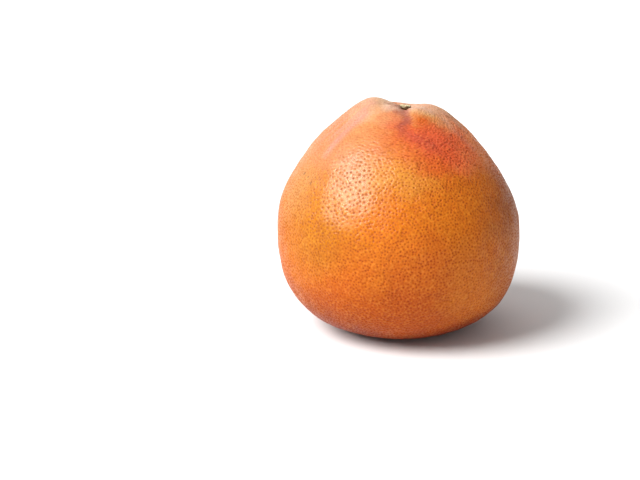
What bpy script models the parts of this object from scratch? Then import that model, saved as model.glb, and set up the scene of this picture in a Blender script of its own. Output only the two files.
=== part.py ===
"""A whole grapefruit with its dry stem button, in metres, +Z up.

The origin is the centre of the small flat spot that the fruit rests on. +Z runs up to the
stem end, -Y is the front and +X is the fruit's right. The body is a sphere drawn out to a
blunt, sloping-shouldered top and a squat base, with a few soft lobes round the stem.
"""

import math

import bmesh
import bpy
from mathutils import Matrix, Vector
from mathutils.bvhtree import BVHTree

# Body, metres. Exponents: 2 gives an ellipse, more gives a squarer outline.
WIDTH = 0.1080
BODY_HEIGHT = 0.0987
WIDEST_LEVEL = 0.442
LOWER_EXPONENT = 2.62
UPPER_EXPONENT = 1.97

# The shoulders are a little slimmer than the outline above, round this share of the height.
SHOULDER_SLIMMING = 0.0019
SHOULDER_LEVEL = 0.75
SHOULDER_SPREAD = 0.18

# The crown leans left and back, more the higher up.
CROWN_LEAN = Vector((-0.0024, 0.0060))
LEAN_POWER = 1.8

# The resting flat: how far the rounded base is pressed in, and how softly its edge turns up.
FLAT_PRESS = 0.0009
FLAT_EDGE = 0.0010

# Stem end, measured from the crown's middle: the dip that holds the button, then the lobes
# as (degrees from +X, distance from the stem, height, spread), then the folds that run out
# from the stem as (degrees from +X, height, width, length). A negative height is a furrow.
STEM_OFFSET = Vector((0.0040, 0.0013))
DIP_DEPTH = 0.0015
DIP_RADIUS = 0.0070
LOBES = (
    (183.0, 0.0147, 0.0049, 0.0111),
    (5.0, 0.0150, 0.0030, 0.0100),
    (-4.0, 0.0270, 0.0005, 0.0100),
    (-55.0, 0.0100, 0.0010, 0.0060),
)
FOLDS = (
    (-89.0, -0.0010, 0.0030, 0.0300),
    (-131.0, 0.0009, 0.0013, 0.0190),
    (-152.0, -0.0009, 0.0016, 0.0170),
    (-15.0, -0.0007, 0.0022, 0.0120),
    (60.0, -0.0009, 0.0024, 0.0130),
    (130.0, -0.0009, 0.0024, 0.0140),
)
LOBED_FROM = 0.55
LOBED_FULL = 0.85

# Stem button: a low five-lobed disc, sunk to its waist in a pocket of its own shape.
BUTTON_RADIUS = 0.0027
BUTTON_HEIGHT = 0.0022
BUTTON_LOBES = 5
BUTTON_LOBE_DEPTH = 0.07
BUTTON_EXPONENT = 2.6
SEAT_GAP = 0.0003

# Mesh fineness. Rings crowd towards the stem by the power below.
BODY_SEGMENTS = 64
BODY_RINGS = 40
RING_POWER = 1.35
BUTTON_SEGMENTS = 30
BUTTON_RINGS = 12

PARTS_NAME = "grapefruit"
CUTTERS_NAME = "cutters"
CUTTER_NAME = "stem_pocket"


def smooth_step(value):
    """Ease from 0 to 1, flat at both ends."""
    share = min(max(value, 0.0), 1.0)
    return share * share * (3.0 - 2.0 * share)


def meridian_distance(polar):
    """Distance of the rounded body from its centre, at an angle from +Z."""
    rise = math.cos(polar)
    reach = math.sin(polar)
    widest_height = BODY_HEIGHT * WIDEST_LEVEL
    blend = smooth_step((rise + 0.6) / 1.2)
    exponent = LOWER_EXPONENT + (UPPER_EXPONENT - LOWER_EXPONENT) * blend
    depth = BODY_HEIGHT - widest_height if rise > 0.0 else widest_height + FLAT_PRESS
    across = (reach / (WIDTH / 2.0)) ** exponent
    along = (abs(rise) / depth) ** exponent
    return (across + along) ** (-1.0 / exponent)


def stem_lift(x, y):
    """Height that the dip, lobes and folds add at a point given from the stem."""
    distance = math.hypot(x, y)
    lift = -DIP_DEPTH * math.exp(-((distance / DIP_RADIUS) ** 2))
    for degrees, away, height, spread in LOBES:
        angle = math.radians(degrees)
        from_lobe = math.hypot(x - away * math.cos(angle), y - away * math.sin(angle))
        lift += height * math.exp(-((from_lobe / spread) ** 2))
    for degrees, height, width, length in FOLDS:
        angle = math.radians(degrees)
        along = x * math.cos(angle) + y * math.sin(angle)
        across = y * math.cos(angle) - x * math.sin(angle)
        share = max(along, 0.0) / length
        reach = smooth_step(along / width) * (1.0 - smooth_step(share))
        lift += height * reach * math.exp(-((across / (width * (0.5 + share))) ** 2))
    return lift


def rest_on_flat(height):
    """Press the base flat at height 0, with a soft turn at the flat's edge."""
    if height <= 0.0:
        return 0.0
    if height < FLAT_EDGE:
        return height * height / (2.0 * FLAT_EDGE)
    return height - FLAT_EDGE / 2.0


def body_point(polar, azimuth):
    """A point of the finished skin, from its angles round the body's centre."""
    distance = meridian_distance(polar)
    radius = distance * math.sin(polar)
    height = distance * math.cos(polar) + BODY_HEIGHT * WIDEST_LEVEL
    level = height / BODY_HEIGHT
    slimming = SHOULDER_SLIMMING * math.exp(-(((level - SHOULDER_LEVEL) / SHOULDER_SPREAD) ** 2))
    radius -= slimming * smooth_step(math.sin(polar) / 0.5)
    lean = CROWN_LEAN * max(level, 0.0) ** LEAN_POWER
    x = radius * math.cos(azimuth) + lean.x
    y = radius * math.sin(azimuth) + lean.y
    stem = stem_place()
    lobed = smooth_step((level - LOBED_FROM) / (LOBED_FULL - LOBED_FROM))
    height += lobed * stem_lift(x - stem.x, y - stem.y)
    return Vector((x, y, rest_on_flat(height)))


def stem_place():
    """Plan position of the stem."""
    return CROWN_LEAN + STEM_OFFSET


def fruit_mesh():
    """The fruit's skin: a sphere whose points are moved onto the body."""
    sphere = bmesh.new()
    bmesh.ops.create_uvsphere(sphere, u_segments=BODY_SEGMENTS, v_segments=BODY_RINGS, radius=1.0)
    for vert in sphere.verts:
        share = math.acos(min(max(vert.co.z, -1.0), 1.0)) / math.pi
        azimuth = math.atan2(vert.co.y, vert.co.x)
        vert.co = body_point(math.pi * share**RING_POWER, azimuth)
    mesh = bpy.data.meshes.new("fruit")
    sphere.to_mesh(mesh)
    sphere.free()
    mesh.shade_smooth()
    return mesh


def button_mesh(name, grow):
    """A low five-lobed disc with rounded edges, larger all round by grow."""
    disc = bmesh.new()
    bmesh.ops.create_uvsphere(disc, u_segments=BUTTON_SEGMENTS, v_segments=BUTTON_RINGS, radius=1.0)
    for vert in disc.verts:
        azimuth = math.atan2(vert.co.y, vert.co.x)
        reach = math.hypot(vert.co.x, vert.co.y)
        size = (reach**BUTTON_EXPONENT + abs(vert.co.z) ** BUTTON_EXPONENT) ** (-1.0 / BUTTON_EXPONENT)
        lobes = 1.0 + BUTTON_LOBE_DEPTH * math.cos(BUTTON_LOBES * azimuth)
        across = size * lobes * BUTTON_RADIUS + size * grow
        along = size * BUTTON_HEIGHT / 2.0 + size * grow
        vert.co = Vector((vert.co.x * across, vert.co.y * across, vert.co.z * along))
    mesh = bpy.data.meshes.new(name)
    disc.to_mesh(mesh)
    disc.free()
    mesh.shade_smooth()
    return mesh


def seat_at_stem(fruit):
    """Where the button sits: on the skin at the stem, square to the skin there."""
    skin = bmesh.new()
    skin.from_mesh(fruit)
    stem = stem_place()
    above = Vector((stem.x, stem.y, 2.0 * BODY_HEIGHT))
    place, facing, _, _ = BVHTree.FromBMesh(skin).ray_cast(above, Vector((0.0, 0.0, -1.0)))
    skin.free()
    turn = Vector((0.0, 0.0, 1.0)).rotation_difference(facing)
    return Matrix.Translation(place) @ turn.to_matrix().to_4x4()


def make_material(name, color, roughness):
    """A plain Principled material."""
    material = bpy.data.materials.new(name)
    material.use_nodes = True
    shader = material.node_tree.nodes["Principled BSDF"]
    shader.inputs["Base Color"].default_value = (*color, 1.0)
    shader.inputs["Roughness"].default_value = roughness
    shader.inputs["Metallic"].default_value = 0.0
    return material


def add_object(name, mesh, collection, place=None):
    """Link a mesh as a named object."""
    part = bpy.data.objects.new(name, mesh)
    collection.objects.link(part)
    if place is not None:
        part.matrix_world = place
    return part


def add_collection(name):
    """A new collection in the scene."""
    collection = bpy.data.collections.new(name)
    bpy.context.scene.collection.children.link(collection)
    return collection


def build():
    """The fruit, with its pocket, and the stem button seated in it."""
    for old in list(bpy.data.objects):
        bpy.data.objects.remove(old, do_unlink=True)
    parts = add_collection(PARTS_NAME)
    cutters = add_collection(CUTTERS_NAME)

    skin = fruit_mesh()
    skin.materials.append(make_material("rind", (0.78, 0.27, 0.07), 0.42))
    fruit = add_object("fruit", skin, parts)
    seat = seat_at_stem(skin)

    disc = button_mesh("stem_button", 0.0)
    disc.materials.append(make_material("dry_stem", (0.30, 0.25, 0.12), 0.80))
    add_object("stem_button", disc, parts, seat)

    pocket = add_object(CUTTER_NAME, button_mesh(CUTTER_NAME, SEAT_GAP), cutters, seat)
    pocket.hide_render = True
    pocket.display_type = "WIRE"
    cut = fruit.modifiers.new(CUTTER_NAME, "BOOLEAN")
    cut.operation = "DIFFERENCE"
    cut.solver = "EXACT"
    cut.object = pocket


build()
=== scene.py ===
import math

import bmesh
import bpy
import numpy as np
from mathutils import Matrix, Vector
from mathutils.kdtree import KDTree


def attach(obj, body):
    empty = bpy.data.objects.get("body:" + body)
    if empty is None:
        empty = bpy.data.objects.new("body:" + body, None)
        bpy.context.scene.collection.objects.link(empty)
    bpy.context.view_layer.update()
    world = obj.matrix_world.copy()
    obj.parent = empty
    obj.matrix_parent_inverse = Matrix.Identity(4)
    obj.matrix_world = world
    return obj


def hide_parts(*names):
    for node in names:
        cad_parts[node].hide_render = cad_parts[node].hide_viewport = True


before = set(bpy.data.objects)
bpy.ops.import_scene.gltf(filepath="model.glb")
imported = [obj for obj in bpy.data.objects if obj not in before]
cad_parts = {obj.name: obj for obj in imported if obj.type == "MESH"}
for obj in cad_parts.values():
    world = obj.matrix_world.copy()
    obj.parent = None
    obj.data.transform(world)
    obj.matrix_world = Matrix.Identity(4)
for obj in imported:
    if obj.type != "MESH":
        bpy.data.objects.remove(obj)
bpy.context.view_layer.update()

# ---------------------------------------------------------------- sizes, metres

MM = 0.001

# The body, as the solid has it. Exponents: 2 gives an ellipse, more gives a squarer outline.
# The lower one blends into the upper one within EXPONENT_BLEND of the sphere's middle.
WIDTH = 0.1080
BODY_HEIGHT = 0.0987
WIDEST_LEVEL = 0.442
LOWER_EXPONENT = 2.62
UPPER_EXPONENT = 1.97
EXPONENT_BLEND = 0.6
SHOULDER_SLIMMING = 0.0019
SHOULDER_LEVEL = 0.75
SHOULDER_SPREAD = 0.18
CROWN_LEAN = (-0.0024, 0.0060)
LEAN_POWER = 1.8
FLAT_PRESS = 0.0009
FLAT_EDGE = 0.0010

# The stem end, from the crown's middle: the dip, then the lobes as (degrees from +X,
# distance from the stem, height, spread), then the folds as (degrees, height, width, length).
# A fold of negative height is a furrow.
STEM_OFFSET = (0.0040, 0.0013)
STEM = (CROWN_LEAN[0] + STEM_OFFSET[0], CROWN_LEAN[1] + STEM_OFFSET[1])
DIP_DEPTH = 0.0015
DIP_RADIUS = 0.0070
LOBES = (
    (183.0, 0.0147, 0.0049, 0.0111),
    (5.0, 0.0150, 0.0030, 0.0100),
    (-4.0, 0.0270, 0.0005, 0.0100),
    (-55.0, 0.0100, 0.0010, 0.0060),
)
FOLDS = (
    (-89.0, -0.0010, 0.0030, 0.0300),
    (-131.0, 0.0009, 0.0013, 0.0190),
    (-152.0, -0.0009, 0.0016, 0.0170),
    (-15.0, -0.0007, 0.0022, 0.0120),
    (60.0, -0.0009, 0.0024, 0.0130),
    (130.0, -0.0009, 0.0024, 0.0140),
)
LOBED_FROM = 0.55
LOBED_FULL = 0.85

# Marks of the stem end are kept to the skin above this height.
STEM_END_FROM = 0.08

# Pale streaks from the stem: (degrees, start, end, width, share), and how softly they end.
STREAKS = (
    (-147.0, 0.017, 0.042, 0.0022, 1.0),
    (-155.0, 0.011, 0.036, 0.0013, 0.75),
    (-164.0, 0.012, 0.038, 0.0011, 0.65),
    (-176.0, 0.012, 0.032, 0.0022, 0.45),
    (-30.0, 0.018, 0.034, 0.0020, 0.35),
    (-12.0, 0.014, 0.032, 0.0016, 0.40),
)
STREAK_TAPER = 0.004

# Fine skin: cuts along each edge of an icosahedron, and how its points crowd to the stem.
SKIN_CUTS = 165
STEM_CROWDING = 0.8
STEM_CROWDING_ANGLE = 0.40

# Oil-gland pits. Spacing varies within its range, and depth and width as (spread, least, most).
PIT_SPACING = 1.25 * MM
PIT_DEPTH = 0.20 * MM
PIT_WIDTH = 0.36 * MM
SPACING_RANGE = (0.66, 1.14)
DEPTH_SCATTER = (0.40, 0.3, 1.8)
WIDTH_SCATTER = (0.14, 0.7, 1.4)

# A wide pit's dark dot is wider too, by this power of its width.
DOT_WIDENING = 0.8

# A pit's raised rim: its height, distance and width, as shares of the pit's own depth and width.
RIM_HEIGHT = 0.14
RIM_DISTANCE = 1.9
RIM_WIDTH = 0.8

# Up high the pits are stretched along level lines.
LONG_PITS_FROM = 0.074
LONG_PITS_FULL = 0.087
LONG_PITS_ALONG = 0.50
LONG_PITS_ACROSS = 0.12

# On the front left cheek the pits are wider apart, wider and shallower, with no rim.
CHEEK = (-0.023, -0.036, 0.071)
CHEEK_REACH = 0.017
CHEEK_SPACING = 0.60
CHEEK_WIDENING = 0.35
CHEEK_SHALLOWING = 0.3

# Round the stem they are closer together. There and in these places they are faint.
STEM_CLOSER = 0.18
STEM_CLOSER_REACH = 0.020
CROWN_REACH = 0.019
CROWN_FAINTNESS = 0.8
FAINTNESS = 0.88
FAINT_PITS = (((-0.034, -0.006, 0.088), 0.026), ((-0.012, -0.002, 0.100), 0.018))

# In the blush they are deeper, with higher rims, and their colour is fainter.
COARSE_PITS = (0.018, -0.016, 0.090)
COARSE_REACH = 0.022
COARSE_DEEPENING = 0.9
COARSE_RIM = 0.20
COARSE_PALING = 0.4

# Softer relief of the rind, as (wavelength, height). It dies out towards the floor.
UNDULATIONS = (
    (26.0 * MM, 0.10 * MM),
    (9.0 * MM, 0.055 * MM),
    (3.6 * MM, 0.014 * MM),
    (1.7 * MM, 0.006 * MM),
)
RELIEF_FULL = 6.0 * MM

# Pocket round the stem button, and the share of its radius that is floor.
POCKET_RADIUS = 3.1 * MM
POCKET_DEPTH = 1.7 * MM
POCKET_FLOOR = 0.55

# Fine wrinkles that run out from the stem button.
WRINKLES = 13
WRINKLE_HEIGHT = 0.10 * MM
WRINKLE_REACH = 8.0 * MM

# Stem button.
BUTTON_RADIUS = 2.7 * MM
BUTTON_HEIGHT = 1.9 * MM
BUTTON_LOBES = 5
BUTTON_LOBE_DEPTH = 0.09
BUTTON_EXPONENT = 2.6

rng = np.random.default_rng(20)


# ---------------------------------------------------------------- body surface

def smooth_step(value):
    """Ease from 0 to 1, flat at both ends."""
    share = np.clip(value, 0.0, 1.0)
    return share * share * (3.0 - 2.0 * share)


def bell(distance, reach):
    """1 at distance 0, fading to nothing at about twice the reach."""
    return np.exp(-((distance / reach) ** 2))


def distance_from(points, centre):
    """Distance of each point from a centre."""
    return np.linalg.norm(points - np.array(centre), axis=1)


def stem_lift(x, y):
    """Height that the dip, lobes and folds add at points given from the stem."""
    lift = -DIP_DEPTH * bell(np.hypot(x, y), DIP_RADIUS)
    for degrees, away, height, spread in LOBES:
        angle = math.radians(degrees)
        from_lobe = np.hypot(x - away * math.cos(angle), y - away * math.sin(angle))
        lift += height * bell(from_lobe, spread)
    for fold in FOLDS:
        lift += fold_lift(x, y, *fold)
    return lift


def along_and_across(x, y, degrees):
    """Points given from the stem, measured along a line that runs out from it and across it."""
    angle = math.radians(degrees)
    along = x * math.cos(angle) + y * math.sin(angle)
    across = y * math.cos(angle) - x * math.sin(angle)
    return along, across


def fold_lift(x, y, degrees, height, width, length):
    """Height of one fold that runs out from the stem, widening as it goes."""
    along, across = along_and_across(x, y, degrees)
    share = np.maximum(along, 0.0) / length
    reach = smooth_step(along / width) * (1.0 - smooth_step(share))
    return height * reach * bell(across, width * (0.5 + share))


def streak_share(x, y, degrees, start, end, width, share):
    """How much a pale streak that runs out from the stem covers each point."""
    along, across = along_and_across(x, y, degrees)
    begun = smooth_step((along - start) / STREAK_TAPER)
    ended = smooth_step((along - end + STREAK_TAPER) / (2.0 * STREAK_TAPER))
    return share * (begun * (1.0 - ended)) * bell(across, width)


def body_points(directions):
    """Points of the skin in the given directions from the body's centre."""
    rise = directions[:, 2]
    reach = np.hypot(directions[:, 0], directions[:, 1])
    azimuth = np.arctan2(directions[:, 1], directions[:, 0])
    widest_height = BODY_HEIGHT * WIDEST_LEVEL
    blend = smooth_step((rise + EXPONENT_BLEND) / (2.0 * EXPONENT_BLEND))
    exponent = LOWER_EXPONENT + (UPPER_EXPONENT - LOWER_EXPONENT) * blend
    depth = np.where(rise > 0.0, BODY_HEIGHT - widest_height, widest_height + FLAT_PRESS)
    across = (reach / (WIDTH / 2.0)) ** exponent
    along = (np.abs(rise) / depth) ** exponent
    distance = (across + along) ** (-1.0 / exponent)
    height = distance * rise + widest_height
    level = height / BODY_HEIGHT
    slimming = SHOULDER_SLIMMING * bell(level - SHOULDER_LEVEL, SHOULDER_SPREAD)
    radius = distance * reach - slimming * smooth_step(reach / 0.5)
    lean = np.maximum(level, 0.0) ** LEAN_POWER
    x = radius * np.cos(azimuth) + CROWN_LEAN[0] * lean
    y = radius * np.sin(azimuth) + CROWN_LEAN[1] * lean
    lobed = smooth_step((level - LOBED_FROM) / (LOBED_FULL - LOBED_FROM))
    height = height + lobed * stem_lift(x - STEM[0], y - STEM[1])
    return np.stack((x, y, rest_on_flat(height)), axis=1)


def rest_on_flat(height):
    """Press the base flat at height 0, with a soft turn at the flat's edge."""
    turn = height * height / (2.0 * FLAT_EDGE)
    above = np.where(height < FLAT_EDGE, turn, height - FLAT_EDGE / 2.0)
    return np.where(height <= 0.0, 0.0, above)


# ---------------------------------------------------------------- mesh helpers

def read_vectors(items, name):
    """A mesh's vector property as an array of rows."""
    values = np.empty(len(items) * 3, np.float32)
    items.foreach_get(name, values)
    return values.reshape(-1, 3).astype(float)


def write_points(mesh, points):
    """Move a mesh's vertices."""
    mesh.vertices.foreach_set("co", points.astype(np.float32).ravel())
    mesh.update()


def store(mesh, name, values):
    """Keep one number for each vertex, for the material to read."""
    layer = mesh.attributes.new(name, "FLOAT", "POINT")
    layer.data.foreach_set("value", values.astype(np.float32))


def tree_of(points):
    """A search tree of points."""
    tree = KDTree(len(points))
    for index, point in enumerate(points):
        tree.insert(point, index)
    tree.balance()
    return tree


def ripples(points, wavelength, waves=40):
    """A smooth random field of about unit height, from plane waves in all directions."""
    facing = rng.normal(size=(waves, 3))
    facing /= np.linalg.norm(facing, axis=1)[:, None]
    stretch = rng.uniform(0.75, 1.3, waves)[:, None]
    phase = rng.uniform(0.0, 2.0 * math.pi, waves)
    field = np.cos(points @ (facing * stretch * 2.0 * math.pi / wavelength).T + phase)
    return field.sum(axis=1) * math.sqrt(2.0 / waves)


# ---------------------------------------------------------------- nodes helpers

def add_node(tree, kind, inputs=None, **settings):
    """Add a node, set its properties, and set or link its inputs."""
    node = tree.nodes.new(kind)
    for name, value in settings.items():
        setattr(node, name, value)
    for name, value in (inputs or {}).items():
        if isinstance(value, bpy.types.NodeSocket):
            tree.links.new(value, node.inputs[name])
        else:
            node.inputs[name].default_value = value
    return node


def new_material(name):
    """A material with its Principled shader."""
    material = bpy.data.materials.new(name)
    material.use_nodes = True
    tree = material.node_tree
    return material, tree, tree.nodes["Principled BSDF"]


def math_node(tree, operation, first, second=0.5, clamp=False):
    """One sum of two numbers."""
    node = add_node(tree, "ShaderNodeMath", {0: first, 1: second}, operation=operation)
    node.use_clamp = clamp
    return node.outputs[0]


def fade(tree, value, start, end, low=0.0, high=1.0):
    """Ease a number from low at start to high at end."""
    inputs = {"Value": value, "From Min": start, "From Max": end, "To Min": low, "To Max": high}
    node = add_node(tree, "ShaderNodeMapRange", inputs, interpolation_type="SMOOTHSTEP")
    return node.outputs["Result"]


def noise(tree, where, size, detail=3.0, roughness=0.5, output="Fac"):
    """Noise with features of about the given size in metres."""
    inputs = {"Vector": where, "Scale": 1.0 / size, "Detail": detail, "Roughness": roughness}
    return add_node(tree, "ShaderNodeTexNoise", inputs).outputs[output]


def mix(tree, share, first, second, blend="MIX"):
    """Mix two colours."""
    node = add_node(tree, "ShaderNodeMix", data_type="RGBA", blend_type=blend)
    node.clamp_factor = True
    for socket, value in (("Factor_Float", share), ("A_Color", first), ("B_Color", second)):
        target = next(s for s in node.inputs if s.identifier == socket)
        if isinstance(value, bpy.types.NodeSocket):
            tree.links.new(value, target)
        else:
            target.default_value = value
    return next(s for s in node.outputs if s.identifier == "Result_Color")


def zone(tree, where, centre, reach, soft=0.5):
    """1 inside an ellipsoid on the skin, fading to 0 outside it."""
    offset = add_node(tree, "ShaderNodeVectorMath", {0: where, 1: centre}, operation="SUBTRACT")
    scale = {0: offset.outputs[0], 1: tuple(1.0 / size for size in reach)}
    scaled = add_node(tree, "ShaderNodeVectorMath", scale, operation="MULTIPLY")
    length = add_node(tree, "ShaderNodeVectorMath", {0: scaled.outputs[0]}, operation="LENGTH")
    return fade(tree, length.outputs["Value"], 1.0 + soft, 1.0 - soft)


def attribute(tree, name):
    """A number stored on the mesh."""
    return add_node(tree, "ShaderNodeAttribute", attribute_name=name).outputs["Fac"]


def rgb(red, green, blue):
    """A colour with full alpha."""
    return (red, green, blue, 1.0)


# ---------------------------------------------------------------- the fruit's skin

def skin_directions():
    """A fine geodesic sphere whose points crowd towards the stem."""
    sphere = bmesh.new()
    bmesh.ops.create_icosphere(sphere, subdivisions=1, radius=1.0)
    bmesh.ops.subdivide_edges(sphere, edges=sphere.edges[:], cuts=SKIN_CUTS, use_grid_fill=True)
    mesh = bpy.data.meshes.new("fruit_skin")
    sphere.to_mesh(mesh)
    sphere.free()
    directions = read_vectors(mesh.vertices, "co")
    directions /= np.linalg.norm(directions, axis=1)[:, None]
    to_stem = np.array((STEM[0], STEM[1], BODY_HEIGHT * (1.0 - WIDEST_LEVEL)))
    to_stem /= np.linalg.norm(to_stem)
    angle = np.arccos(np.clip(directions @ to_stem, -1.0, 1.0))
    pull = STEM_CROWDING * bell(angle, STEM_CROWDING_ANGLE)
    directions += pull[:, None] * to_stem
    directions /= np.linalg.norm(directions, axis=1)[:, None]
    return mesh, directions


def pit_spacing(point):
    """Distance between oil glands: wider on the front left cheek, closer at the stem."""
    cheek = math.exp(-((Vector(point) - Vector(CHEEK)).length / CHEEK_REACH) ** 2)
    from_stem = math.hypot(point[0] - STEM[0], point[1] - STEM[1])
    stem = math.exp(-((from_stem / STEM_CLOSER_REACH) ** 2))
    stem *= 1.0 if point[2] > STEM_END_FROM else 0.0
    return PIT_SPACING * (1.0 + CHEEK_SPACING * cheek - STEM_CLOSER * stem)


def pit_centres(points):
    """Skin vertices that hold an oil gland, no two closer than the spacing."""
    tree = tree_of(points)
    free = np.ones(len(points), bool)
    centres = []
    jitter = rng.uniform(*SPACING_RANGE, len(points))
    for index in rng.permutation(len(points)):
        if not free[index]:
            continue
        centres.append(index)
        near = tree.find_range(points[index], pit_spacing(points[index]) * jitter[index])
        free[[entry[1] for entry in near]] = False
    return np.array(centres)


def nearest(points, centres):
    """For each point, the nearest pit and the distance to it, shorter along level lines up high."""
    tree = tree_of(points[centres])
    index = np.array([tree.find(point)[1] for point in points])
    offset = points - points[centres][index]
    azimuth = np.arctan2(points[:, 1], points[:, 0])
    level = offset[:, 1] * np.cos(azimuth) - offset[:, 0] * np.sin(azimuth)
    rest = np.sqrt(np.maximum((offset * offset).sum(axis=1) - level * level, 0.0))
    high = smooth_step((points[:, 2] - LONG_PITS_FROM) / (LONG_PITS_FULL - LONG_PITS_FROM))
    level = level * (1.0 - LONG_PITS_ALONG * high)
    return index, np.hypot(level, rest * (1.0 + LONG_PITS_ACROSS * high))


def scatter(count, spread, low, high):
    """Random factors round 1."""
    return np.clip(rng.normal(1.0, spread, count), low, high)


def faintness(points, from_stem):
    """How faint the pits are at each point, 0 to 1."""
    faint = CROWN_FAINTNESS * (bell(from_stem, CROWN_REACH) * (points[:, 2] > STEM_END_FROM))
    for centre, reach in FAINT_PITS:
        faint = np.maximum(faint, bell(distance_from(points, centre), reach))
    return faint


def wrinkles(points, from_stem):
    """Height of the fine wrinkles that run out from the stem button, unevenly spaced."""
    turn = np.arctan2(points[:, 1] - STEM[1], points[:, 0] - STEM[0])
    wave = np.cos(WRINKLES * turn + 1.5 * np.sin(3.0 * turn))
    wave = wave + 0.6 * np.cos(1.7 * WRINKLES * turn + 2.0 * np.sin(2.0 * turn))
    outside_pocket = smooth_step((from_stem - 0.5 * POCKET_RADIUS) / POCKET_RADIUS)
    near_stem = outside_pocket * bell(from_stem, WRINKLE_REACH)
    return WRINKLE_HEIGHT * wave * near_stem * (points[:, 2] > STEM_END_FROM)


def button_seat():
    """The place and facing of the button in the solid."""
    points = read_vectors(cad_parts["stem_button"].data.vertices, "co")
    centre = (points.min(axis=0) + points.max(axis=0)) / 2.0
    _, axes = np.linalg.eigh(np.cov((points - points.mean(axis=0)).T))
    facing = axes[:, 0] * np.sign(axes[2, 0])
    return centre, facing


def pocket_share(points):
    """1 in the pocket that holds the button, fading to 0 at its edge."""
    centre, facing = button_seat()
    offset = points - centre
    along = offset @ facing
    across = np.linalg.norm(offset - along[:, None] * facing, axis=1)
    edge = POCKET_FLOOR * POCKET_RADIUS
    return 1.0 - smooth_step((across - edge) / edge)


def build_skin():
    """The rind, with its undulations, pits, wrinkles, stem pocket and resting flat."""
    mesh, directions = skin_directions()
    points = body_points(directions)
    write_points(mesh, points)
    normals = read_vectors(mesh.vertex_normals, "vector")

    centres = pit_centres(points)
    index, distance = nearest(points, centres)
    strength = scatter(len(centres), *DEPTH_SCATTER)[index]
    width = PIT_WIDTH * scatter(len(centres), *WIDTH_SCATTER)[index]
    from_stem = np.hypot(points[:, 0] - STEM[0], points[:, 1] - STEM[1])
    strength = strength * (1.0 - FAINTNESS * faintness(points, from_stem))
    cheek = bell(distance_from(points, CHEEK), CHEEK_REACH)
    width = width * (1.0 + CHEEK_WIDENING * cheek)
    coarse = bell(distance_from(points, COARSE_PITS), COARSE_REACH)
    deeper = 1.0 + COARSE_DEEPENING * coarse - CHEEK_SHALLOWING * cheek
    depth = PIT_DEPTH * strength * deeper

    relief = np.zeros(len(points))
    for wavelength, height in UNDULATIONS:
        relief += height * ripples(points, wavelength)
    relief *= smooth_step(points[:, 2] / RELIEF_FULL)
    relief -= depth * bell(distance, width)
    rim = RIM_HEIGHT * (1.0 - cheek) + COARSE_RIM * coarse
    relief += rim * depth * bell(distance - RIM_DISTANCE * width, RIM_WIDTH * width)
    relief += wrinkles(points, from_stem)
    pocket = pocket_share(points)
    relief -= POCKET_DEPTH * pocket * (points[:, 2] > STEM_END_FROM)

    points = points + normals * relief[:, None]
    points[:, 2] = np.maximum(points[:, 2], 0.0)
    write_points(mesh, points)

    x = points[:, 0] - STEM[0]
    y = points[:, 1] - STEM[1]
    high = points[:, 2] > STEM_END_FROM
    furrows = sum(fold_lift(x, y, *fold) for fold in FOLDS if fold[1] < 0.0)
    ridge_light = sum(fold_lift(x, y, *fold) for fold in FOLDS if fold[1] > 0.0)
    paler = sum(streak_share(x, y, *streak) for streak in STREAKS)
    store(mesh, "pit_gap", distance / MM * (PIT_WIDTH / width) ** DOT_WIDENING)
    store(mesh, "pit_tone", strength * (1.0 - COARSE_PALING * coarse))
    # Furrows, for their stain and painted shade.
    store(mesh, "crease", np.clip(-furrows / MM, 0.0, 1.0) * high)
    # The streak attribute also carries painted light on the raised fold, lighter where it rises.
    store(mesh, "streak", np.clip(ridge_light / MM + paler, 0.0, 1.0) * high)
    store(mesh, "pocket", pocket * high)

    mesh.shade_smooth()
    skin = bpy.data.objects.new("fruit_skin", mesh)
    bpy.context.scene.collection.objects.link(skin)
    mesh.materials.append(rind_material())
    return skin


# ---------------------------------------------------------------- the rind's colours and gloss

RIND_ORANGE = rgb(0.50, 0.119, 0.004)
RIND_DEEP = rgb(0.48, 0.099, 0.004)
# Painted shade: the rind is darkened towards the floor with this colour.
PAINTED_BASE_SHADE = rgb(0.235, 0.024, 0.001)
# Brown of the furrows: partly the rind's own stain, partly painted shade.
CREASE_STAIN_AND_SHADE = rgb(0.30, 0.085, 0.055)
# Pale pink of the streaks, also laid on the raised fold as painted light.
STREAK_AND_RIDGE_LIGHT_PINK = rgb(0.45, 0.200, 0.150)
POCKET_TAN = rgb(0.38, 0.190, 0.110)
SPECK_BROWN = rgb(0.16, 0.060, 0.020)
# Painted glints: pale yellow flecks between the oil glands.
PAINTED_GLINT_YELLOW = rgb(0.78, 0.40, 0.06)

# Factors on the colour: soft mottling, fine mottling and the oil glands.
SOFT_DARK = rgb(0.42, 0.42, 0.42)
SOFT_PALE = rgb(1.0, 0.98, 0.92)
FINE_DARK = rgb(0.93, 0.91, 0.86)
FINE_PALE = rgb(1.09, 1.12, 1.16)
GLAND_DARK = rgb(0.66, 0.48, 0.14)

# How far noise shifts the zones' edges, and the height that the painted shade at the base reaches.
ZONE_WOBBLE = 0.020
PAINTED_BASE_SHADE_FROM = 0.038

# Roughness of the skin and of its pits, and how much waxier the front left cheek is.
SKIN_ROUGHNESS = (0.31, 0.41)
PIT_ROUGHNESS = 0.62
CHEEK_WAX = 0.08
CHEEK_WAX_REACH = 0.030

# How uneven the outlines of the oil glands are, in millimetres.
GAP_UNEVENNESS = 0.40

# How much of each mark shows.
CREASE_STAIN_AND_SHADE_SHARE = 0.75
STREAK_AND_RIDGE_LIGHT_SHARE = 0.75
SPECK_SHARE = 0.9
SOFT_SHARE = 0.09
GLAND_SHARE = 0.85
PAINTED_GLINT_SHARE = 0.16

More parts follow.
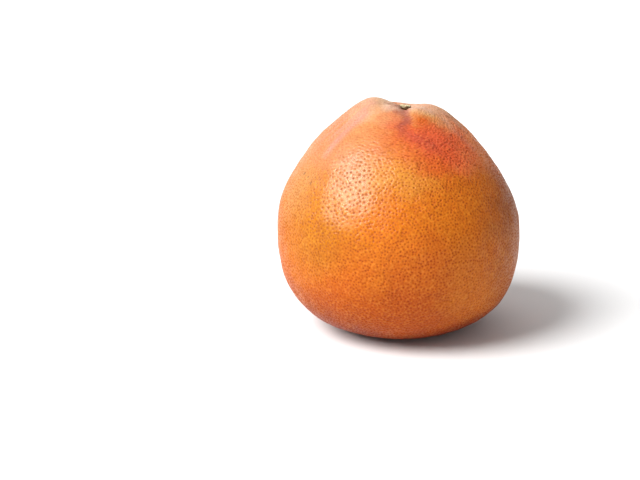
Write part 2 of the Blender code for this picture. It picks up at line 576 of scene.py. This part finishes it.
# Dark specks in the rind, and the scar under the base: centre and size.
SPECKS = (
    ((-0.0422, -0.0118, 0.0725), 0.0007),
    ((-0.0407, -0.0158, 0.0719), 0.0006),
    ((-0.0394, -0.0203, 0.0703), 0.0005),
    ((0.0310, 0.0360, 0.0600), 0.0006),
    ((-0.0150, 0.0490, 0.0640), 0.0005),
    ((0.0480, 0.0210, 0.0420), 0.0005),
    ((0.0, 0.0, 0.0), 0.0028),
)

# Colour zones of the rind: centre, reach, softness, share and colour, broadest first. Some of them
# are painted shade and painted light, marked where they stand.
ZONES = (
    ((0.020, -0.040, 0.068), (0.024, 0.020, 0.014), 0.5, 1.0, rgb(0.51, 0.122, 0.004)),
    ((-0.036, -0.030, 0.068), (0.030, 0.030, 0.032), 0.5, 0.9, rgb(0.400, 0.124, 0.005)),
    # Painted shade on the right side, away from the key.
    ((0.052, -0.012, 0.056), (0.013, 0.034, 0.026), 0.6, 0.95, rgb(0.29, 0.066, 0.003)),
    # Painted light: the front middle is lightened.
    ((-0.005, -0.046, 0.058), (0.016, 0.014, 0.014), 0.7, 0.70, rgb(0.56, 0.139, 0.007)),
    ((-0.020, 0.046, 0.050), (0.020, 0.018, 0.022), 0.8, 0.60, rgb(0.52, 0.150, 0.008)),
    ((0.030, 0.040, 0.062), (0.018, 0.018, 0.016), 0.9, 0.50, rgb(0.50, 0.088, 0.010)),
    # Painted shade: darker and redder low on the front.
    ((0.002, -0.048, 0.020), (0.026, 0.018, 0.016), 0.6, 0.80, rgb(0.42, 0.070, 0.002)),
    # Paler upper middle: partly the rind's own colour, partly painted highlight at the upper edge
    # of the sheen.
    ((0.002, -0.030, 0.080), (0.014, 0.016, 0.012), 0.6, 0.80, rgb(0.56, 0.210, 0.030)),
    # Painted light on the low right, as bounced from the floor.
    ((0.030, -0.040, 0.028), (0.016, 0.020, 0.012), 0.6, 0.80, rgb(0.52, 0.130, 0.006)),
    ((0.047, -0.026, 0.036), (0.014, 0.020, 0.016), 0.7, 0.60, rgb(0.40, 0.108, 0.010)),
    ((-0.032, -0.008, 0.086), (0.024, 0.032, 0.015), 0.5, 0.85, rgb(0.44, 0.163, 0.062)),
    ((-0.046, -0.012, 0.068), (0.010, 0.020, 0.012), 0.6, 0.60, rgb(0.43, 0.190, 0.060)),
    # Partly the rind's own colour, partly painted highlight at the upper edge of the sheen.
    ((-0.013, -0.013, 0.093), (0.012, 0.012, 0.008), 0.8, 0.70, rgb(0.52, 0.190, 0.055)),
    ((0.027, -0.005, 0.087), (0.013, 0.020, 0.013), 0.6, 0.90, rgb(0.67, 0.245, 0.095)),
    ((0.024, -0.014, 0.086), (0.013, 0.015, 0.011), 0.7, 0.70, rgb(0.58, 0.100, 0.020)),
    ((0.0128, -0.0187, 0.088), (0.0175, 0.0148, 0.011), 0.8, 1.00, rgb(0.565, 0.078, 0.023)),
    ((0.0130, -0.0290, 0.081), (0.012, 0.007, 0.006), 0.8, 0.50, rgb(0.54, 0.082, 0.004)),
    # Pale crown behind the stem: partly the smoother, paler rind there, partly painted reflection
    # of the white surround.
    ((-0.011, 0.0048, 0.102), (0.013, 0.0125, 0.008), 1.0, 0.86, rgb(0.56, 0.360, 0.225)),
    ((0.008, -0.0050, 0.097), (0.009, 0.0042, 0.005), 0.9, 0.80, rgb(0.58, 0.275, 0.080)),
    # Pale plateau behind the stem: partly paler rind, partly painted reflection of the white
    # surround.
    ((0.010, 0.005, 0.099), (0.013, 0.008, 0.007), 1.0, 0.82, rgb(0.53, 0.360, 0.260)),
    ((0.0196, 0.0044, 0.0955), (0.007, 0.008, 0.006), 1.0, 0.70, rgb(0.56, 0.310, 0.190)),
    ((-0.0075, -0.005, 0.098), (0.005, 0.004, 0.004), 0.9, 0.60, rgb(0.57, 0.235, 0.080)),
    ((-0.003, -0.0095, 0.096), (0.0035, 0.006, 0.005), 0.8, 0.70, rgb(0.52, 0.115, 0.045)),
    # Painted light on the hump's shaded slope behind the button, and painted reflection on the back
    # rim.
    ((-0.003, 0.006, 0.100), (0.006, 0.007, 0.005), 0.8, 0.65, rgb(0.68, 0.430, 0.310)),
    ((0.001, -0.008, 0.095), (0.0024, 0.011, 0.008), 0.7, 0.85, rgb(0.34, 0.070, 0.042)),
    ((0.008, -0.020, 0.090), (0.008, 0.006, 0.006), 0.8, 0.50, rgb(0.40, 0.062, 0.036)),
)


def zone_color(tree, where):
    """The rind's broad colours, with painted shade towards the floor and painted light and shade in
    some zones, their edges made uneven by noise.
    """
    wobble = noise(tree, where, 0.012, 2.0, output="Color")
    middle = {0: wobble, 1: (0.5, 0.5, 0.5)}
    centred = add_node(tree, "ShaderNodeVectorMath", middle, operation="SUBTRACT").outputs[0]
    spread = {0: centred, 3: ZONE_WOBBLE}
    shift = add_node(tree, "ShaderNodeVectorMath", spread, operation="SCALE").outputs[0]
    edge = add_node(tree, "ShaderNodeVectorMath", {0: where, 1: shift}, operation="ADD").outputs[0]

    patch = fade(tree, noise(tree, where, 0.030, 2.0), 0.35, 0.65)
    color = mix(tree, patch, RIND_ORANGE, RIND_DEEP)
    height = add_node(tree, "ShaderNodeSeparateXYZ", {0: edge}).outputs["Z"]
    # Painted shade: darker towards the floor.
    color = mix(tree, fade(tree, height, PAINTED_BASE_SHADE_FROM, 0.0), color, PAINTED_BASE_SHADE)
    for centre, reach, soft, share, tint in ZONES:
        inside = math_node(tree, "MULTIPLY", zone(tree, edge, centre, reach, soft), share)
        color = mix(tree, inside, color, tint)
    return color


def marked_color(tree, where, color):
    """Add the creases, partly their own stain and partly painted shade, the streaks, with painted
    light on the raised fold, the stem pocket and the specks.
    """
    # Furrows browned: partly stain, partly painted shade.
    crease = fade(tree, attribute(tree, "crease"), 0.1, 1.0)
    color = mix(tree, math_node(tree, "MULTIPLY", crease, CREASE_STAIN_AND_SHADE_SHARE), color, CREASE_STAIN_AND_SHADE)
    # Pale streaks, and painted light on the raised fold.
    streak = math_node(tree, "MULTIPLY", attribute(tree, "streak"), STREAK_AND_RIDGE_LIGHT_SHARE, clamp=True)
    color = mix(tree, streak, color, STREAK_AND_RIDGE_LIGHT_PINK)
    pocket = fade(tree, attribute(tree, "pocket"), 0.25, 0.75)
    color = mix(tree, pocket, color, POCKET_TAN)
    for centre, size in SPECKS:
        spot = zone(tree, where, centre, (size, size, size), 0.5)
        color = mix(tree, math_node(tree, "MULTIPLY", spot, SPECK_SHARE), color, SPECK_BROWN)
    return color


def mottled_color(tree, where, color):
    """Add soft mottling a few millimetres across, and fine mottling."""
    soft = fade(tree, noise(tree, where, 0.0035, 3.0), 0.3, 0.7)
    color = mix(tree, SOFT_SHARE, color, mix(tree, soft, SOFT_DARK, SOFT_PALE), "SOFT_LIGHT")
    fine = fade(tree, noise(tree, where, 0.0009, 2.0), 0.3, 0.7)
    return mix(tree, 1.0, color, mix(tree, fine, FINE_DARK, FINE_PALE), "MULTIPLY")


def gland_color(tree, where, gap, color):
    """Darken the oil glands, less so near the base and the crown, and add painted glints on the
    skin between.
    """
    dot = fade(tree, gap, 0.58, 0.12)
    tone = math_node(tree, "MULTIPLY", attribute(tree, "pit_tone"), GLAND_SHARE, clamp=True)
    dot = math_node(tree, "MULTIPLY", dot, tone)
    height = add_node(tree, "ShaderNodeSeparateXYZ", {0: where}).outputs["Z"]
    dot = math_node(tree, "MULTIPLY", dot, fade(tree, height, 0.022, 0.050, 0.85, 1.25))
    dot = math_node(tree, "MULTIPLY", dot, fade(tree, height, 0.070, 0.096, 1.0, 0.6))
    color = mix(tree, dot, color, mix(tree, 1.0, color, GLAND_DARK, "MULTIPLY"))
    # Painted glints between the glands.
    grain = fade(tree, noise(tree, where, 0.0009, 2.0), 0.40, 0.62)
    painted_glint = math_node(tree, "MULTIPLY", fade(tree, gap, 0.55, 1.00), grain)
    return mix(tree, math_node(tree, "MULTIPLY", painted_glint, PAINTED_GLINT_SHARE), color, PAINTED_GLINT_YELLOW)


def rind_roughness(tree, where, gap):
    """Waxy skin, waxiest on the front left cheek and dull in the pits."""
    skin = fade(tree, noise(tree, where, 0.006, 3.0), 0.3, 0.7, *SKIN_ROUGHNESS)
    cheek = zone(tree, where, CHEEK, (CHEEK_WAX_REACH, CHEEK_WAX_REACH, CHEEK_WAX_REACH), 0.5)
    skin = math_node(tree, "SUBTRACT", skin, math_node(tree, "MULTIPLY", cheek, CHEEK_WAX))
    rough = add_node(tree, "ShaderNodeMix", data_type="FLOAT")
    tree.links.new(fade(tree, gap, 0.6, 0.2), rough.inputs[0])
    tree.links.new(skin, rough.inputs[2])
    rough.inputs[3].default_value = PIT_ROUGHNESS
    return rough.outputs[0]


def rind_material():
    """Waxy orange rind with a pink shoulder, a red blush and darker oil glands."""
    material, tree, shader = new_material("rind_fine")
    where = add_node(tree, "ShaderNodeTexCoord").outputs["Object"]
    uneven = math_node(tree, "SUBTRACT", noise(tree, where, 0.0008, 1.0), 0.5)
    uneven = math_node(tree, "MULTIPLY", uneven, GAP_UNEVENNESS)
    gap = math_node(tree, "ADD", attribute(tree, "pit_gap"), uneven)

    color = zone_color(tree, where)
    color = marked_color(tree, where, color)
    color = mottled_color(tree, where, color)
    color = gland_color(tree, where, gap, color)
    grain = noise(tree, where, 0.0005, 2.0, 0.6)
    relief = {"Height": grain, "Strength": 0.9, "Distance": 0.13 * MM}
    bump = add_node(tree, "ShaderNodeBump", relief)

    tree.links.new(color, shader.inputs["Base Color"])
    tree.links.new(rind_roughness(tree, where, gap), shader.inputs["Roughness"])
    tree.links.new(bump.outputs["Normal"], shader.inputs["Normal"])
    shader.inputs["IOR"].default_value = 1.45
    shader.inputs["Specular IOR Level"].default_value = 0.20
    shader.inputs["Subsurface Weight"].default_value = 0.05
    shader.inputs["Subsurface Radius"].default_value = (1.0, 0.35, 0.12)
    shader.inputs["Subsurface Scale"].default_value = 3.0 * MM
    return material


# ---------------------------------------------------------------- the stem button

def build_button():
    """The dry calyx: a low five-lobed disc with ribs, a broken rim and a scar in the middle."""
    centre, facing = button_seat()
    disc = bmesh.new()
    bmesh.ops.create_uvsphere(disc, u_segments=110, v_segments=56, radius=1.0)
    mesh = bpy.data.meshes.new("calyx_button")
    disc.to_mesh(mesh)
    disc.free()
    unit = read_vectors(mesh.vertices, "co")
    azimuth = np.arctan2(unit[:, 1], unit[:, 0])
    reach = np.hypot(unit[:, 0], unit[:, 1])
    size = reach**BUTTON_EXPONENT + np.abs(unit[:, 2]) ** BUTTON_EXPONENT
    size = size ** (-1.0 / BUTTON_EXPONENT)
    lobes = 1.0 + BUTTON_LOBE_DEPTH * np.cos(BUTTON_LOBES * azimuth)
    lobes = lobes + 0.03 * np.cos(3.0 * azimuth + 1.0)
    radius = unit[:, :2] * (size * lobes * BUTTON_RADIUS)[:, None]
    height = unit[:, 2] * size * BUTTON_HEIGHT / 2.0
    points = np.column_stack((radius, height))
    share = np.hypot(points[:, 0], points[:, 1]) / BUTTON_RADIUS
    top = smooth_step((unit[:, 2] + 0.1) / 0.4)
    ribs = 0.10 * MM * np.cos(2.0 * BUTTON_LOBES * azimuth) * smooth_step((share - 0.3) / 0.3)
    scar = -0.45 * MM * np.exp(-((share / 0.30) ** 4)) + 0.18 * MM * bell(share - 0.42, 0.10)
    crumble = 0.08 * MM * ripples(points, 1.1 * MM) + 0.05 * MM * ripples(points, 0.45 * MM)
    points[:, 2] += top * (ribs + scar + crumble)
    store(mesh, "share", share)
    turn = Vector((0.0, 0.0, 1.0)).rotation_difference(Vector(facing)).to_matrix()
    write_points(mesh, points @ np.array(turn).T + centre)
    mesh.shade_smooth()
    button = bpy.data.objects.new("calyx_button", mesh)
    bpy.context.scene.collection.objects.link(button)
    mesh.materials.append(button_material())
    return button


def button_material():
    """Dry khaki calyx, browner in its scar, and darker round its rim, partly its own dry edge and
    partly painted shade under it.
    """
    material, tree, shader = new_material("dry_calyx")
    where = add_node(tree, "ShaderNodeTexCoord").outputs["Object"]
    patch = fade(tree, noise(tree, where, 0.0016, 4.0, 0.6), 0.35, 0.65)
    color = mix(tree, patch, rgb(0.66, 0.60, 0.36), rgb(0.46, 0.39, 0.21))
    share = attribute(tree, "share")
    # Darker round the rim: partly the calyx's dry edge, partly painted shade under it.
    color = mix(tree, fade(tree, share, 0.80, 1.02), color, rgb(0.17, 0.105, 0.050))
    color = mix(tree, fade(tree, share, 0.38, 0.20), color, rgb(0.12, 0.080, 0.035))
    grain = noise(tree, where, 0.0004, 4.0, 0.65)
    bump = add_node(tree, "ShaderNodeBump", {"Height": grain, "Strength": 0.6, "Distance": 0.0002})
    tree.links.new(color, shader.inputs["Base Color"])
    tree.links.new(fade(tree, grain, 0.3, 0.7, 0.70, 0.92), shader.inputs["Roughness"])
    tree.links.new(bump.outputs["Normal"], shader.inputs["Normal"])
    shader.inputs["Specular IOR Level"].default_value = 0.3
    return material


# ---------------------------------------------------------------- stage, lights, camera

FLOOR_SIZE = 12.0

# The camera, and where it aims: a height at the fruit's middle, then how far right and up.
CAMERA_ELEVATION = 17.0
CAMERA_DISTANCE = 0.83
CAMERA_LENS = 105.0
CAMERA_SENSOR = 36.0
AIM_HEIGHT = 0.048
AIM_RIGHT = -0.0354
AIM_UP = -0.0091

# Suns: name, where it comes from, strength, angle, and whether it lights and whether it shines.
# The key only lights, and the sheen only makes the highlight, a little higher up.
LAMPS = (
    ("key", (-0.675, -0.275, 0.684), 5.3, 42.0, True, False),
    ("sheen", (-0.605, -0.220, 0.765), 9.8, 37.0, False, True),
    ("back", (-0.35, 0.75, 0.55), 0.7, 70.0, True, True),
)

# The surround: its strength overhead and at the horizon, and how high the horizon's glow reaches.
FILL_STRENGTH = 0.42
HORIZON_STRENGTH = 1.0
HORIZON_HEIGHT = 0.16


def build_floor():
    """A plain pale floor."""
    bpy.ops.mesh.primitive_plane_add(size=FLOOR_SIZE, location=(0.0, 0.0, 0.0))
    floor = bpy.context.object
    floor.name = "floor"
    material, _, shader = new_material("floor_white")
    shader.inputs["Base Color"].default_value = rgb(0.80, 0.80, 0.80)
    shader.inputs["Roughness"].default_value = 0.9
    shader.inputs["Specular IOR Level"].default_value = 0.1
    floor.data.materials.append(material)


def build_world():
    """An even, dim white surround, brighter towards the horizon."""
    world = bpy.data.worlds.new("studio")
    world.use_nodes = True
    tree = world.node_tree
    facing = add_node(tree, "ShaderNodeTexCoord").outputs["Generated"]
    height = add_node(tree, "ShaderNodeSeparateXYZ", {0: facing}).outputs["Z"]
    strength = fade(tree, height, 0.0, HORIZON_HEIGHT, HORIZON_STRENGTH, FILL_STRENGTH)
    background = tree.nodes["Background"]
    background.inputs["Color"].default_value = rgb(1.0, 1.0, 1.0)
    tree.links.new(strength, background.inputs["Strength"])
    bpy.context.scene.world = world


def build_lights():
    """A broad soft key and its sheen from the front left, and a weak sun from the back left."""
    for name, coming_from, strength, angle, diffuse, glossy in LAMPS:
        light = bpy.data.lights.new(name, "SUN")
        light.energy = strength
        light.angle = math.radians(angle)
        lamp = bpy.data.objects.new(name, light)
        lamp.rotation_euler = Vector(coming_from).to_track_quat("Z", "Y").to_euler()
        lamp.visible_diffuse = diffuse
        lamp.visible_glossy = glossy
        bpy.context.scene.collection.objects.link(lamp)


def build_camera():
    """A long lens, level with the front, looking a little down."""
    elevation = math.radians(CAMERA_ELEVATION)
    ahead = Vector((0.0, math.cos(elevation), -math.sin(elevation)))
    up = Vector((0.0, math.sin(elevation), math.cos(elevation)))
    aim = Vector((AIM_RIGHT, 0.0, AIM_HEIGHT)) + up * AIM_UP
    camera = bpy.data.cameras.new("camera")
    camera.lens = CAMERA_LENS
    camera.sensor_width = CAMERA_SENSOR
    eye = bpy.data.objects.new("camera", camera)
    eye.location = aim - ahead * CAMERA_DISTANCE
    eye.rotation_euler = ahead.to_track_quat("-Z", "Y").to_euler()
    bpy.context.scene.collection.objects.link(eye)
    bpy.context.scene.camera = eye


# ---------------------------------------------------------------- the whole scene

skin = build_skin()
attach(skin, "root")
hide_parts("fruit")

button = build_button()
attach(button, "root")
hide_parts("stem_button")

build_floor()
build_world()
build_lights()
build_camera()
bpy.context.scene.view_settings.view_transform = "Standard"
